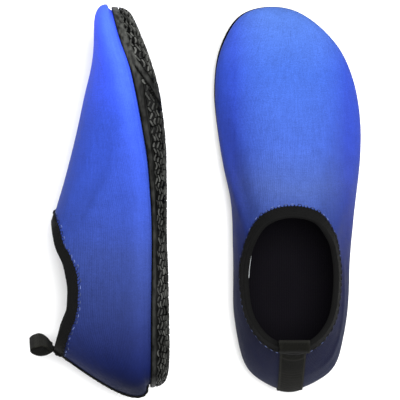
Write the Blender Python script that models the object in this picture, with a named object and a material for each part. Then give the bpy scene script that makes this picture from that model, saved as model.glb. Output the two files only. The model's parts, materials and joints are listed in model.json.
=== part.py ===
"""A pair of low neoprene water shoes. The right one stands on its sole and the left one lies on its outer side.

Each shoe is made in its own frame: x points to the outer side of a right foot, y from heel to toe and z up, with
the origin on the ground under the back of the heel. The left shoe is the mirror image in x. The surfaces are rings
around the foot: ring column 0 is the middle of the heel, then the columns run along the outer side to the toe and
back along the inner side.
"""

import math

import bmesh
import bpy
import numpy as np
from mathutils import Matrix, Vector

# Outline of the upper at its widest, and the edge of its collar, as (outline x, outline y, edge x, edge y).
STATIONS = [
    (0.0000, 0.0000, 0.0000, 0.0308),
    (0.0268, 0.0130, 0.0150, 0.0360),
    (0.0370, 0.0430, 0.0255, 0.0510),
    (0.0395, 0.0850, 0.0285, 0.0740),
    (0.0436, 0.1220, 0.0265, 0.0920),
    (0.0480, 0.1620, 0.0225, 0.1015),
    (0.0446, 0.1965, 0.0168, 0.1090),
    (0.0326, 0.2242, 0.0110, 0.1122),
    (0.0100, 0.2448, 0.0050, 0.1136),
    (-0.0130, 0.2500, -0.0010, 0.1140),
    (-0.0338, 0.2430, -0.0070, 0.1134),
    (-0.0468, 0.2205, -0.0132, 0.1114),
    (-0.0502, 0.1930, -0.0200, 0.1070),
    (-0.0460, 0.1580, -0.0255, 0.0985),
    (-0.0388, 0.1250, -0.0292, 0.0870),
    (-0.0368, 0.0850, -0.0304, 0.0710),
    (-0.0360, 0.0450, -0.0270, 0.0505),
    (-0.0262, 0.0124, -0.0160, 0.0360),
]
COLUMNS = 40

# Heights along the shoe, as (y, z): under the tread, where the upper leaves the sole, and the collar's edge.
TREAD_HEIGHT = [
    (0.000, 0.0046),
    (0.010, 0.0022),
    (0.022, 0.0006),
    (0.036, 0.0000),
    (0.082, 0.0000),
    (0.100, 0.0005),
    (0.120, 0.0004),
    (0.130, 0.0000),
    (0.156, 0.0000),
    (0.180, 0.0016),
    (0.200, 0.0046),
    (0.220, 0.0104),
    (0.240, 0.0180),
    (0.250, 0.0226),
]
FEATHER_HEIGHT = [
    (0.000, 0.0127),
    (0.056, 0.0116),
    (0.112, 0.0101),
    (0.148, 0.0117),
    (0.180, 0.0160),
    (0.210, 0.0216),
    (0.232, 0.0285),
    (0.250, 0.0325),
]
COLLAR_HEIGHT = [
    (0.031, 0.0730),
    (0.044, 0.0690),
    (0.058, 0.0638),
    (0.072, 0.0625),
    (0.088, 0.0650),
    (0.100, 0.0700),
    (0.114, 0.0728),
]

GAP = 0.0003
UPPER_THICK = 0.0012
LINING_THICK = 0.0005
BINDING_THICK = 0.0006
TAPE_THICK = 0.0008

# The sole's outline lies inside the upper's widest outline, most of all behind the heel.
SOLE_INSET = 0.0010
HEEL_OVERHANG = 0.0038
HEEL_END = 0.018
RIM_THICK = 0.0020
FLOOR_THICK = 0.0045
BOARD_THICK = 0.0012
FOOTBED_THICK = 0.0035
FOOTBED_BEVEL = 0.0010
FOOTBED_SLACK = 0.0002
MIDDLE_INSET = 0.0160
# The rounded lower edge of the sole, as (inset, height over the tread).
SOLE_EDGE = [(0.0062, 0.0), (0.0024, 0.0015), (0.0007, 0.0046)]

# The upper rises out of the sole, turns out over its rim and then bulges.
TURN_RISE = 0.0002
SHOULDER_INSET = 0.0012
SHOULDER_RISE = 0.0016
SIDE_ARM = 0.0200
TOE_ARM_EXTRA = -0.0065
HEEL_ARM_EXTRA = -0.0190
SIDE_FLARE = 0.0055
HEEL_FLARE = 0.0195
TOE_FLARE = 0.0025
COLLAR_ARM = 0.0050
COLLAR_ARM_SHARE = 0.78
SPAN_AT_TOE = 0.133
UPPER_ROWS = 6

# Slope of the upper just under the collar, in degrees below level.
SIDE_SLOPE = 71.0
FRONT_SLOPE = 18.3
HEEL_SLOPE = 51.0
# How fast the front and heel slopes fade into the side's, as powers of the cosine of the collar's direction.
FRONT_FADE = 1.6
HEEL_FADE = 2.0

BINDING_WIDTH = 0.0060
BINDING_FOLD = 0.0009

STITCHES = 58
THREAD_RADIUS = 0.00022
THREAD_OVER_BINDING = 0.0017
THREAD_OVER_UPPER = 0.0010
THREAD_TOP = 0.0048
THREAD_BOTTOM = 0.0076
THREAD_FROM_TAPE = 0.0015

TAPE_WIDTH = 0.0165
# Share of a row by which the tape leaves the upper below the binding.
TAPE_STEP = 0.2
LOOP_WIDTH = 0.0190
LOOP_THICK = 0.0013
LOOP_PIVOT = (0.0, 0.0318, 0.0762)
# The loop's outer face from the pivot round, as (y, z) from the pivot.
LOOP_OUTLINE = [
    (0.0000, -0.0016),
    (-0.0017, 0.0000),
    (-0.0038, 0.0034),
    (-0.0037, 0.0080),
    (-0.0012, 0.0118),
    (0.0024, 0.0132),
    (0.0056, 0.0116),
    (0.0078, 0.0082),
    (0.0082, 0.0047),
    (0.0058, 0.0017),
    (0.0015, -0.0004),
]
BARTACK_WIDTH = 0.0165
BARTACK_TOP = 0.0015
BARTACK_BOTTOM = 0.0035
BARTACK_THICK = 0.0005

LABEL_FROM = 0.0740
LABEL_TO = 0.0880
LABEL_SEAM = 0.0040
LABEL_DROP = 0.0150
LABEL_THICK = 0.0005
LABEL_LEAN = 0.0022

# Where the shoes lie. The left shoe is turned on its side and rests on the sole's edge and the upper's bulge.
RIGHT_PLACE = (0.0606, -0.1232, 0.0)
LEFT_PLACE = (-0.0173, -0.1247)
LEFT_SWING = math.radians(1.2)
LEFT_ROLL = math.radians(2.4)
LEFT_PITCH = math.radians(4.0)

MATERIALS = {
    "upper_fabric": ((0.06, 0.13, 0.62, 1.0), 0.75),
    "lining_fabric": ((0.010, 0.010, 0.012, 1.0), 0.9),
    "binding_tape": ((0.012, 0.012, 0.011, 1.0), 0.8),
    "webbing": ((0.014, 0.014, 0.013, 1.0), 0.8),
    "thread": ((0.16, 0.20, 0.38, 1.0), 0.6),
    "outsole_rubber": ((0.035, 0.033, 0.031, 1.0), 0.55),
    "insole_foam": ((0.012, 0.012, 0.014, 1.0), 0.9),
    "sole_board": ((0.30, 0.29, 0.27, 1.0), 0.9),
    "label_fabric": ((0.55, 0.60, 0.60, 1.0), 0.7),
}


def clear_scene():
    for old in list(bpy.data.objects):
        bpy.data.objects.remove(old)


def make_material(name):
    colour, roughness = MATERIALS[name]
    material = bpy.data.materials.new(name)
    material.use_nodes = True
    shader = material.node_tree.nodes["Principled BSDF"]
    shader.inputs["Base Color"].default_value = colour
    shader.inputs["Roughness"].default_value = roughness
    return material


def closed_curve(points, count):
    """Count points on the smooth closed curve through the given points."""
    points = np.array(points)
    place = np.arange(count) * len(points) / count
    first = np.floor(place).astype(int)
    t = (place - first)[:, None]
    a, b, c, d = (points[(first + step) % len(points)] for step in (-1, 0, 1, 2))
    return b + 0.5 * t * (c - a + t * (2 * a - 5 * b + 4 * c - d + t * (3 * (b - c) + d - a)))


def height_along(table, y):
    """Height at y on a smooth curve through the table's (y, z) rows that never overshoots them."""
    ys, zs = np.array(table).T
    rise = np.diff(zs) / np.diff(ys)
    before, after = rise[:-1], rise[1:]
    same_way = before * after > 0
    total = np.where(same_way, before + after, 1.0)
    slope = np.concatenate([rise[:1], np.where(same_way, 2 * before * after / total, 0.0), rise[-1:]])
    y = np.clip(y, ys[0], ys[-1])
    i = np.clip(np.searchsorted(ys, y) - 1, 0, len(ys) - 2)
    width = ys[i + 1] - ys[i]
    t = (y - ys[i]) / width
    start = (1 + 2 * t) * (1 - t) ** 2 * zs[i] + t * (1 - t) ** 2 * width * slope[i]
    end = t * t * (3 - 2 * t) * zs[i + 1] + t * t * (t - 1) * width * slope[i + 1]
    return start + end


def smooth_step(value):
    value = np.clip(value, 0.0, 1.0)
    return value * value * (3 - 2 * value)


def plan_normals(ring):
    """Outward directions in plan of a ring that runs anticlockwise seen from above."""
    along = np.roll(ring, -1, axis=0) - np.roll(ring, 1, axis=0)
    outward = np.stack([along[:, 1], -along[:, 0]], axis=1)
    return outward / np.linalg.norm(outward, axis=1, keepdims=True)


def sole_ring(inset):
    """Plan points of the sole's outline moved inwards."""
    outline = closed_curve(STATIONS, COLUMNS)[:, :2]
    outward = plan_normals(outline)
    edge = SOLE_INSET + HEEL_OVERHANG * smooth_step(1 - outline[:, 1] / HEEL_END)
    return outline - outward * (edge + inset)[:, None]


def at_height(ring, height):
    return np.column_stack([ring, np.broadcast_to(height, len(ring))])


def tread_ring(inset, lift):
    """A ring at the given inset, lifted from the underside of the tread."""
    ring = sole_ring(inset)
    return at_height(ring, height_along(TREAD_HEIGHT, ring[:, 1]) + lift)


def feather_ring(inset, lift):
    """A ring at the given inset, lifted from the line where the upper leaves the sole."""
    ring = sole_ring(inset)
    return at_height(ring, height_along(FEATHER_HEIGHT, sole_ring(0.0)[:, 1]) + lift)


def collar_lines(towards):
    """The collar's edge, and the way down the upper from it in plan towards the given ring.

    The steps down have the length that covers one metre square to the edge.
    """
    plan = closed_curve(STATIONS, COLUMNS)[:, 2:]
    edge = at_height(plan, height_along(COLLAR_HEIGHT, plan[:, 1]))
    outward = plan_normals(plan)
    forward = np.clip(outward[:, 1], 0, 1) ** FRONT_FADE
    backward = np.clip(-outward[:, 1], 0, 1) ** HEEL_FADE
    slope = np.radians(SIDE_SLOPE + (FRONT_SLOPE - SIDE_SLOPE) * forward + (HEEL_SLOPE - SIDE_SLOPE) * backward)
    square = np.column_stack([outward * np.cos(slope)[:, None], -np.sin(slope)])
    along = np.roll(edge, -1, axis=0) - np.roll(edge, 1, axis=0)
    along /= np.linalg.norm(along[:, :2], axis=1, keepdims=True)
    aim = towards[:, :2] - plan
    skew = np.sum(aim * along[:, :2], axis=1) / np.sum(aim * outward, axis=1)
    return edge, square + along * (np.cos(slope) * skew)[:, None]


def upper_surface(foot_lift):
    """The outside of the upper, as rows of rings. The lowest row stands in the sole, lifted from its tread."""
    wall_inset = RIM_THICK + GAP
    foot = tread_ring(wall_inset, foot_lift)
    turn = feather_ring(wall_inset, TURN_RISE)
    shoulder = feather_ring(SHOULDER_INSET, SHOULDER_RISE)
    edge, down = collar_lines(shoulder)
    straight = edge + down * BINDING_WIDTH
    down /= np.linalg.norm(down, axis=1, keepdims=True)
    outward = plan_normals(closed_curve(STATIONS, COLUMNS)[:, :2])
    span = np.linalg.norm((straight - shoulder)[:, :2], axis=1)
    to_toe = np.clip(span / SPAN_AT_TOE, 0, 1)
    to_heel = np.clip(-outward[:, 1], 0, 1) ** 2
    arm = SIDE_ARM + TOE_ARM_EXTRA * to_toe**2 + HEEL_ARM_EXTRA * to_heel
    flare = SIDE_FLARE + (HEEL_FLARE - SIDE_FLARE) * to_heel + (TOE_FLARE - SIDE_FLARE) * to_toe
    low = shoulder + np.column_stack([outward * flare[:, None], arm])
    high = straight + down * (COLLAR_ARM + COLLAR_ARM_SHARE * span)[:, None]
    rows = [foot, turn]
    for step in range(UPPER_ROWS + 1):
        t = step / UPPER_ROWS
        near = (1 - t) ** 3 * shoulder + 3 * t * (1 - t) ** 2 * low
        rows.append(near + 3 * t * t * (1 - t) * high + t**3 * straight)
    rows.append(edge)
    return np.array(rows)


def offset_surface(grid, distance):
    """The grid moved outwards along its normals, kept parallel to each of its faces."""
    down_edge = grid[:-1] - grid[1:]
    along = np.roll(grid, -1, axis=1) - grid
    normals = np.cross(0.5 * (along[:-1] + along[1:]), -0.5 * (down_edge + np.roll(down_edge, -1, axis=1)))
    normals /= np.linalg.norm(normals, axis=2, keepdims=True)
    around = [normals, np.roll(normals, 1, axis=1)]
    none = np.zeros_like(normals[:1])
    faces = [np.concatenate(pair) for side in around for pair in ((side, none), (none, side))]
    middle = sum(faces)
    middle /= np.linalg.norm(middle, axis=2, keepdims=True)
    shares = [np.einsum("rci,rci->rc", face, middle) for face in faces]
    counts = sum((np.abs(share) > 0).astype(float) for share in shares)
    return grid + middle * (distance / (sum(shares) / counts))[:, :, None]


def new_object(name, bm, material, shoe, smooth_angle=40.0):
    """Finishes a mesh as one closed body with its faces outwards and puts it in its shoe."""
    if shoe["mirrored"]:
        bmesh.ops.scale(bm, vec=(-1, 1, 1), verts=bm.verts)
    bmesh.ops.recalc_face_normals(bm, faces=bm.faces)
    mesh = bpy.data.meshes.new(name)
    bm.to_mesh(mesh)
    bm.free()
    mesh.shade_smooth()
    mesh.set_sharp_from_angle(angle=math.radians(smooth_angle))
    mesh.materials.append(shoe["materials"][material])
    made = bpy.data.objects.new(f"{name}_{shoe['side']}", mesh)
    bpy.context.scene.collection.objects.link(made)
    made.parent = shoe["frame"]
    return made


def add_rings(bm, rings):
    return [[bm.verts.new(point) for point in ring] for ring in rings]


def bridge(bm, lower, upper, closed=True):
    """Triangles between two rows. Their diagonals rise the same way round, so facing surfaces stay parallel."""
    count = len(lower)
    rising = upper[0].co.z >= lower[0].co.z
    for i in range(count if closed else count - 1):
        j = (i + 1) % count
        corners = [lower[i], lower[j], upper[j], upper[i]]
        if not rising:
            corners = corners[1:] + corners[:1]
        bm.faces.new(corners[:3])
        bm.faces.new([corners[0], corners[2], corners[3]])


def fill_across(bm, ring):
    """Closes a ring around the foot with strips from its outer side to its inner side."""
    half = len(ring) // 2
    bm.faces.new((ring[0], ring[1], ring[-1]))
    for i in range(1, half - 1):
        bm.faces.new((ring[i], ring[i + 1], ring[-i - 1], ring[-i]))
    bm.faces.new((ring[half - 1], ring[half], ring[half + 1]))


def ring_stack(rings):
    """A body of rings stacked from bottom to top, closed across at both ends."""
    bm = bmesh.new()
    rows = add_rings(bm, rings)
    for lower, upper in zip(rows, rows[1:]):
        bridge(bm, lower, upper)
    fill_across(bm, rows[0])
    fill_across(bm, rows[-1])
    return bm


def ring_shell(outer, inner):
    """A shell between two surfaces of the same rows, joined along its bottom and top edges."""
    bm = bmesh.new()
    outer_rows = add_rings(bm, outer)
    inner_rows = add_rings(bm, inner)
    for rows in (outer_rows, inner_rows):
        for lower, upper in zip(rows, rows[1:]):
            bridge(bm, lower, upper)
    bridge(bm, outer_rows[0], inner_rows[0])
    bridge(bm, outer_rows[-1], inner_rows[-1])
    return bm


def make_outsole(shoe):
    """Rubber cup: tread, rounded lower edge, side wall, rim and the floor inside."""
    rows = [
        tread_ring(MIDDLE_INSET, 0.0),
        *[tread_ring(inset, lift) for inset, lift in SOLE_EDGE],
        feather_ring(0.0, 0.0),
        feather_ring(RIM_THICK, 0.0),
        tread_ring(RIM_THICK, FLOOR_THICK),
        tread_ring(MIDDLE_INSET, FLOOR_THICK),
    ]
    new_object("outsole", ring_stack(rows), "outsole_rubber", shoe)


def make_sole_board(shoe):
    inset = RIM_THICK + GAP + UPPER_THICK + GAP
    bottom = FLOOR_THICK + GAP
    rows = [
        tread_ring(MIDDLE_INSET, bottom),
        tread_ring(inset, bottom),
        tread_ring(inset, bottom + BOARD_THICK),
        tread_ring(MIDDLE_INSET, bottom + BOARD_THICK),
    ]
    new_object("sole_board", ring_stack(rows), "sole_board", shoe)


def lining_lift():
    return FLOOR_THICK + GAP + BOARD_THICK + GAP


def make_footbed(shoe):
    inset = RIM_THICK + UPPER_THICK + LINING_THICK + 3 * GAP + FOOTBED_SLACK
    bottom = lining_lift()
    top = bottom + FOOTBED_THICK
    rows = [
        tread_ring(MIDDLE_INSET, bottom),
        tread_ring(inset, bottom),
        tread_ring(inset, top - FOOTBED_BEVEL),
        tread_ring(inset + FOOTBED_BEVEL, top),
        tread_ring(MIDDLE_INSET, top),
    ]
    new_object("footbed", ring_stack(rows), "insole_foam", shoe)


def make_upper(shoe):
    outside = upper_surface(FLOOR_THICK + GAP)
    new_object("upper", ring_shell(outside, offset_surface(outside, -UPPER_THICK)), "upper_fabric", shoe)


def make_lining(shoe):
    outside = upper_surface(lining_lift())
    near = offset_surface(outside, -(UPPER_THICK + GAP))
    far = offset_surface(outside, -(UPPER_THICK + GAP + LINING_THICK))
    new_object("lining", ring_shell(near, far), "lining_fabric", shoe)


def collar_band():
    """The upper's two top rows and how they move for each metre that a surface lies outside them."""
    surface = upper_surface(FLOOR_THICK + GAP)
    return surface[-2:], (offset_surface(surface, 1.0) - surface)[-2:]


def collar_ring(band, outwards, below):
    """A ring around the collar, at a distance out of the upper and a distance below its edge."""
    (low, edge), (low_out, edge_out) = band
    share = below / BINDING_WIDTH
    return (edge + edge_out * outwards) * (1 - share) + (low + low_out * outwards) * share


def collar_point(band, column, outwards, below):
    """A point near the collar, at any place between two columns."""
    ring = collar_ring(band, outwards, below)
    first = math.floor(column)
    share = column - first
    return ring[first % COLUMNS] * (1 - share) + ring[(first + 1) % COLUMNS] * share


def make_binding(shoe):
    """Tape folded over the collar's edge, around the ends of the upper and the lining."""
    band = collar_band()
    face = GAP + BINDING_THICK
    inside = -(UPPER_THICK + GAP + LINING_THICK + GAP)
    back = inside - BINDING_THICK
    section = [
        (face, BINDING_WIDTH),
        (face, 0.0),
        (face - BINDING_THICK, -BINDING_FOLD),
        (back + BINDING_THICK, -BINDING_FOLD),
        (back, 0.0),
        (back, BINDING_WIDTH),
        (inside, BINDING_WIDTH),
        (inside, -GAP),
        (GAP, -GAP),
        (GAP, BINDING_WIDTH),
    ]
    bm = bmesh.new()
    rows = add_rings(bm, [collar_ring(band, outwards, below) for outwards, below in section])
    for lower, upper in zip(rows, rows[1:] + rows[:1]):
        bridge(bm, lower, upper)
    new_object("collar_binding", bm, "binding_tape", shoe)


def even_columns(edge, count, half_gap):
    """Columns at even distances around the collar, leaving a gap on both sides of the middle of the heel."""
    edge = np.vstack([edge, edge[:1]])
    length = np.concatenate([[0], np.cumsum(np.linalg.norm(np.diff(edge, axis=0), axis=1))])
    wanted = np.linspace(half_gap, length[-1] - half_gap, count)
    return np.interp(wanted, length, np.arange(COLUMNS + 1))


def make_collar_thread(shoe):
    """Zigzag stitching over the binding's lower edge, from one side of the heel tape round to the other."""
    band = collar_band()
    columns = even_columns(collar_ring(band, 0.0, BINDING_WIDTH), 2 * STITCHES, TAPE_WIDTH / 2 + THREAD_FROM_TAPE)
    places = [(THREAD_OVER_BINDING, THREAD_TOP), (THREAD_OVER_UPPER, THREAD_BOTTOM)]
    points = [collar_point(band, column, *places[i % 2]) for i, column in enumerate(columns)]
    bm = bmesh.new()
    rows = []
    for i, (column, point) in enumerate(zip(columns, points)):
        out = band[1][0][round(column) % COLUMNS]
        before, after = points[max(i - 1, 0)], points[min(i + 1, len(points) - 1)]
        side = np.cross(out, after - before)
        side /= np.linalg.norm(side)
        corners = [out, side, -out, -side]
        rows.append([bm.verts.new(point + corner * THREAD_RADIUS) for corner in corners])
    for lower, upper in zip(rows, rows[1:]):
        bridge(bm, lower, upper)
    bm.faces.new(rows[0])
    bm.faces.new(rows[-1])
    new_object("collar_thread", bm, "thread", shoe)


def strip_at_heel(near, far):
    """A closed strip from two lists of rows across it, its face next to the shoe and its outer face."""
    bm = bmesh.new()
    near_rows = add_rings(bm, near)
    far_rows = add_rings(bm, far)
    for rows in (near_rows, far_rows):
        for lower, upper in zip(rows, rows[1:]):
            bridge(bm, lower, upper, closed=False)
    for rim in (0, -1):
        bridge(bm, near_rows[rim], far_rows[rim], closed=False)
        side = [row[rim] for row in near_rows]
        bridge(bm, side, [row[rim] for row in far_rows], closed=False)
    return bm


def across_heel(ring, width):
    """Three points across the middle of the heel on a ring's flat faces."""
    middle = ring[0]
    ends = []
    for neighbour in (ring[-1], ring[1]):
        along = neighbour - middle
        ends.append(middle + along * (width / 2 / np.linalg.norm(along)))
    return [ends[0], middle, ends[1]]


def make_heel_tape(shoe):
    """Webbing over the back seam, from the sole up and over the outside of the binding."""
    outside = upper_surface(FLOOR_THICK + GAP)
    band = collar_band()
    over = BINDING_THICK + 2 * GAP
    sides = []
    for lift in (0.0, TAPE_THICK):
        on_upper = offset_surface(outside, GAP + lift)[2:-1]
        on_upper[-1] += (on_upper[-2] - on_upper[-1]) * TAPE_STEP
        rings = list(on_upper) + [collar_ring(band, over + lift, below) for below in (BINDING_WIDTH, 0.0)]
        sides.append([across_heel(ring, TAPE_WIDTH) for ring in rings])
    new_object("heel_tape", strip_at_heel(*sides), "webbing", shoe)


def make_bartack(shoe):
    """Dense stitching through the tape and the ends of the loop."""
    band = collar_band()
    face = BINDING_THICK + 2 * GAP + TAPE_THICK + GAP
    sides = []
    for outwards in (face, face + BARTACK_THICK):
        rings = [collar_ring(band, outwards, below) for below in (BARTACK_BOTTOM, BARTACK_TOP)]
        sides.append([across_heel(ring, BARTACK_WIDTH) for ring in rings])
    new_object("loop_bartack", strip_at_heel(*sides), "thread", shoe)


def make_pull_loop(shoe):
    """Webbing loop that turns about its sewn root, with a hole for a finger through it."""
    outer = [Vector((0, y, z)) for y, z in LOOP_OUTLINE]
    count = len(outer)
    inner = []
    for i in range(2, count - 1):
        along = (outer[(i + 1) % count] - outer[i - 1]).normalized()
        inner.append(outer[i] + Vector((0, along.z, -along.y)) * LOOP_THICK)
    bm = bmesh.new()
    sides = []
    for x in (-LOOP_WIDTH / 2, LOOP_WIDTH / 2):
        shift = Vector((x, 0, 0))
        sides.append(([bm.verts.new(p + shift) for p in outer], [bm.verts.new(p + shift) for p in inner]))
    for outer_side, inner_side in sides:
        bridge(bm, outer_side[2:-1], inner_side, closed=False)
        root = [outer_side[-1], outer_side[0], outer_side[1], outer_side[2], inner_side[0], inner_side[-1]]
        bm.faces.new(root + [outer_side[-2]])
    (outer_left, inner_left), (outer_right, inner_right) = sides
    bridge(bm, outer_left, outer_right)
    bridge(bm, inner_left, inner_right)
    loop = new_object("pull_loop", bm, "webbing", shoe, smooth_angle=60.0)
    loop.location = LOOP_PIVOT


def make_label(shoe):
    """Blank woven label that hangs from the binding on the inner side of the collar."""
    band = collar_band()
    back = -(UPPER_THICK + LINING_THICK + BINDING_THICK + 3 * GAP)
    inner_half = np.arange(COLUMNS // 2, COLUMNS)
    edge_y = collar_ring(band, back, 0.0)[inner_half, 1]
    ends = [np.interp(-y, -edge_y, inner_half) for y in (LABEL_TO, LABEL_FROM)]
    top = [Vector(collar_point(band, column, back - GAP, LABEL_SEAM)) for column in ends]
    lean = Vector((LABEL_LEAN, 0, -LABEL_DROP))
    thick = Vector((LABEL_THICK, 0, 0))
    bm = bmesh.new()
    corners = [[top[0], top[1]], [top[1] + lean, top[0] + lean]]
    face = [bm.verts.new(point) for pair in corners for point in pair]
    back_face = [bm.verts.new(point + thick) for pair in corners for point in pair]
    bm.faces.new(face)
    bm.faces.new(back_face)
    bridge(bm, face, back_face)
    new_object("inner_label", bm, "label_fabric", shoe)


def make_shoe(side, materials):
    frame = bpy.data.objects.new(f"{side}_shoe", None)
    bpy.context.scene.collection.objects.link(frame)
    shoe = {"side": side, "mirrored": side == "left", "frame": frame, "materials": materials}
    make_outsole(shoe)
    make_sole_board(shoe)
    make_footbed(shoe)
    make_upper(shoe)
    make_lining(shoe)
    make_binding(shoe)
    make_collar_thread(shoe)
    make_heel_tape(shoe)
    make_bartack(shoe)
    make_pull_loop(shoe)
    make_label(shoe)
    return frame


def lowest_point(frame):
    bpy.context.view_layer.update()
    return min((piece.matrix_world @ v.co).z for piece in frame.children for v in piece.data.vertices)


def lay_on_side(frame):
    """Turns the left shoe so that its inner side faces up, then lowers it until it rests on the ground."""
    on_side = Matrix.Rotation(math.radians(-90), 4, "Y")
    settle = Matrix.Rotation(LEFT_ROLL, 4, "Y") @ Matrix.Rotation(LEFT_PITCH, 4, "X")
    swing = Matrix.Rotation(LEFT_SWING, 4, "Z")
    frame.matrix_world = Matrix.Translation((*LEFT_PLACE, 0)) @ swing @ settle @ on_side
    drop = lowest_point(frame)
    frame.matrix_world = Matrix.Translation((0, 0, -drop)) @ frame.matrix_world


def main():
    clear_scene()
    materials = {name: make_material(name) for name in MATERIALS}
    right = make_shoe("right", materials)
    right.location = RIGHT_PLACE
    left = make_shoe("left", materials)
    lay_on_side(left)


main()
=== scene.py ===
"""Looks of a pair of low neoprene water shoes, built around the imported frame.

Each shoe is made in its own frame, as its CAD is. There x points to the outer side of a right foot, y from
heel to toe and z up, with the origin on the ground under the back of the heel. The left shoe is the mirror
image in x.
"""

import json
import math

import bpy
import numpy as np
from mathutils import Matrix, Vector, noise


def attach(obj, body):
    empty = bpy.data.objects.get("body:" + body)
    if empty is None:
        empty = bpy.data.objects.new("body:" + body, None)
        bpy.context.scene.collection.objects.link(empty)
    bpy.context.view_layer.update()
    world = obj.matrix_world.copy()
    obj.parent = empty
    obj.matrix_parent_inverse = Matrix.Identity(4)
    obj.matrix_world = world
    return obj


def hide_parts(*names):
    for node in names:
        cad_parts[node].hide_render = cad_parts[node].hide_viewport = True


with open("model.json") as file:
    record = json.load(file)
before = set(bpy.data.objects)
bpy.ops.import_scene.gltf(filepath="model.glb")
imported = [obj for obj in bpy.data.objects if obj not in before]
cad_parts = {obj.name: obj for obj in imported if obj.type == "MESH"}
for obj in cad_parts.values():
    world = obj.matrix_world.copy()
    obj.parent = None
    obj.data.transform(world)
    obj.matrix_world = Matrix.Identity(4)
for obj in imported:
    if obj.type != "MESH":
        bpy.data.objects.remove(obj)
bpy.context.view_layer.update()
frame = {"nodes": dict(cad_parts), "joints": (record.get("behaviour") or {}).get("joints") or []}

# ---- Driving dimensions, the same as the CAD's ----

# Outline of the upper at its widest, and the edge of its collar, as (outline x, outline y, edge x, edge y).
STATIONS = [
    (0.0000, 0.0000, 0.0000, 0.0308),
    (0.0268, 0.0130, 0.0150, 0.0360),
    (0.0370, 0.0430, 0.0255, 0.0510),
    (0.0395, 0.0850, 0.0285, 0.0740),
    (0.0436, 0.1220, 0.0265, 0.0920),
    (0.0480, 0.1620, 0.0225, 0.1015),
    (0.0446, 0.1965, 0.0168, 0.1090),
    (0.0326, 0.2242, 0.0110, 0.1122),
    (0.0100, 0.2448, 0.0050, 0.1136),
    (-0.0130, 0.2500, -0.0010, 0.1140),
    (-0.0338, 0.2430, -0.0070, 0.1134),
    (-0.0468, 0.2205, -0.0132, 0.1114),
    (-0.0502, 0.1930, -0.0200, 0.1070),
    (-0.0460, 0.1580, -0.0255, 0.0985),
    (-0.0388, 0.1250, -0.0292, 0.0870),
    (-0.0368, 0.0850, -0.0304, 0.0710),
    (-0.0360, 0.0450, -0.0270, 0.0505),
    (-0.0262, 0.0124, -0.0160, 0.0360),
]
STATION_COLUMNS = 40
LENGTH = 0.25

# Heights along the shoe, as (y, z).
TREAD_HEIGHT = [
    (0.000, 0.0046),
    (0.010, 0.0022),
    (0.022, 0.0006),
    (0.036, 0.0000),
    (0.082, 0.0000),
    (0.100, 0.0005),
    (0.120, 0.0004),
    (0.130, 0.0000),
    (0.156, 0.0000),
    (0.180, 0.0016),
    (0.200, 0.0046),
    (0.220, 0.0104),
    (0.240, 0.0180),
    (0.250, 0.0226),
]
FEATHER_HEIGHT = [
    (0.000, 0.0127),
    (0.056, 0.0116),
    (0.112, 0.0101),
    (0.148, 0.0117),
    (0.180, 0.0160),
    (0.210, 0.0216),
    (0.232, 0.0285),
    (0.250, 0.0325),
]
COLLAR_HEIGHT = [
    (0.031, 0.0730),
    (0.044, 0.0690),
    (0.058, 0.0638),
    (0.072, 0.0625),
    (0.088, 0.0650),
    (0.100, 0.0700),
    (0.114, 0.0728),
]

GAP = 0.0003
UPPER_THICK = 0.0012
LINING_THICK = 0.0005
BINDING_THICK = 0.0006
TAPE_THICK = 0.0008
SOLE_INSET = 0.0010
HEEL_OVERHANG = 0.0038
HEEL_END = 0.018
RIM_THICK = 0.0020
FLOOR_THICK = 0.0045
BOARD_THICK = 0.0012
FOOTBED_THICK = 0.0035
FOOTBED_SLACK = 0.0002
MIDDLE_INSET = 0.0160
TURN_RISE = 0.0002
SHOULDER_INSET = 0.0012
SHOULDER_RISE = 0.0016
SIDE_ARM = 0.0200
TOE_ARM_EXTRA = -0.0065
HEEL_ARM_EXTRA = -0.0190
SIDE_FLARE = 0.0055
HEEL_FLARE = 0.0195
TOE_FLARE = 0.0025
COLLAR_ARM = 0.0050
COLLAR_ARM_SHARE = 0.78
SPAN_AT_TOE = 0.133
SIDE_SLOPE = 71.0
FRONT_SLOPE = 18.3
HEEL_SLOPE = 51.0
FRONT_FADE = 1.6
HEEL_FADE = 2.0
BINDING_WIDTH = 0.0060
STITCHES = 58
THREAD_TOP = 0.0048
THREAD_BOTTOM = 0.0076
THREAD_FROM_TAPE = 0.0015
TAPE_WIDTH = 0.0165
LOOP_WIDTH = 0.0190
LOOP_THICK = 0.0013
LOOP_PIVOT = (0.0, 0.0318, 0.0762)
LOOP_OUTLINE = [
    (0.0000, -0.0016),
    (-0.0017, 0.0000),
    (-0.0038, 0.0034),
    (-0.0037, 0.0080),
    (-0.0012, 0.0118),
    (0.0024, 0.0132),
    (0.0056, 0.0116),
    (0.0078, 0.0082),
    (0.0082, 0.0047),
    (0.0058, 0.0017),
    (0.0015, -0.0004),
]
BARTACK_WIDTH = 0.0165
BARTACK_TOP = 0.0015
BARTACK_BOTTOM = 0.0035
LABEL_FROM = 0.0740
LABEL_TO = 0.0880
LABEL_SEAM = 0.0040
LABEL_DROP = 0.0150
LABEL_LEAN = 0.0022
LEFT_SWING = math.radians(1.2)
LEFT_ROLL = math.radians(2.4)
LEFT_PITCH = math.radians(4.0)

# ---- Fineness and detail of the looks ----

COLUMNS = 480
UPPER_ROWS = 56
FOOTBED_COLUMNS = 360
SOLE_COLUMNS = 720
SEED = 11

# Rows of the upper's surface: its edge on the sole, and the lower edge of the binding.
SHOULDER_ROW = 4
SEAM_ROW = -4

# The cloth's own directions turn round the foot along a line, and bend down at both ends of the shoe.
CLOTH_LIFT = 0.006
CLOTH_RADIUS = 0.040
HEEL_BEND = 0.050
TOE_BEND = 0.205

# Each shoe's own push of the toe forward, lean of the loop, and share of its depth that the loop keeps.
SHAPES = {
    "right": {"toe_push": 0.0004, "lean": 0.0, "flatness": 0.66},
    "left": {"toe_push": 0.0026, "lean": 0.28, "flatness": 0.58},
}

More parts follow.
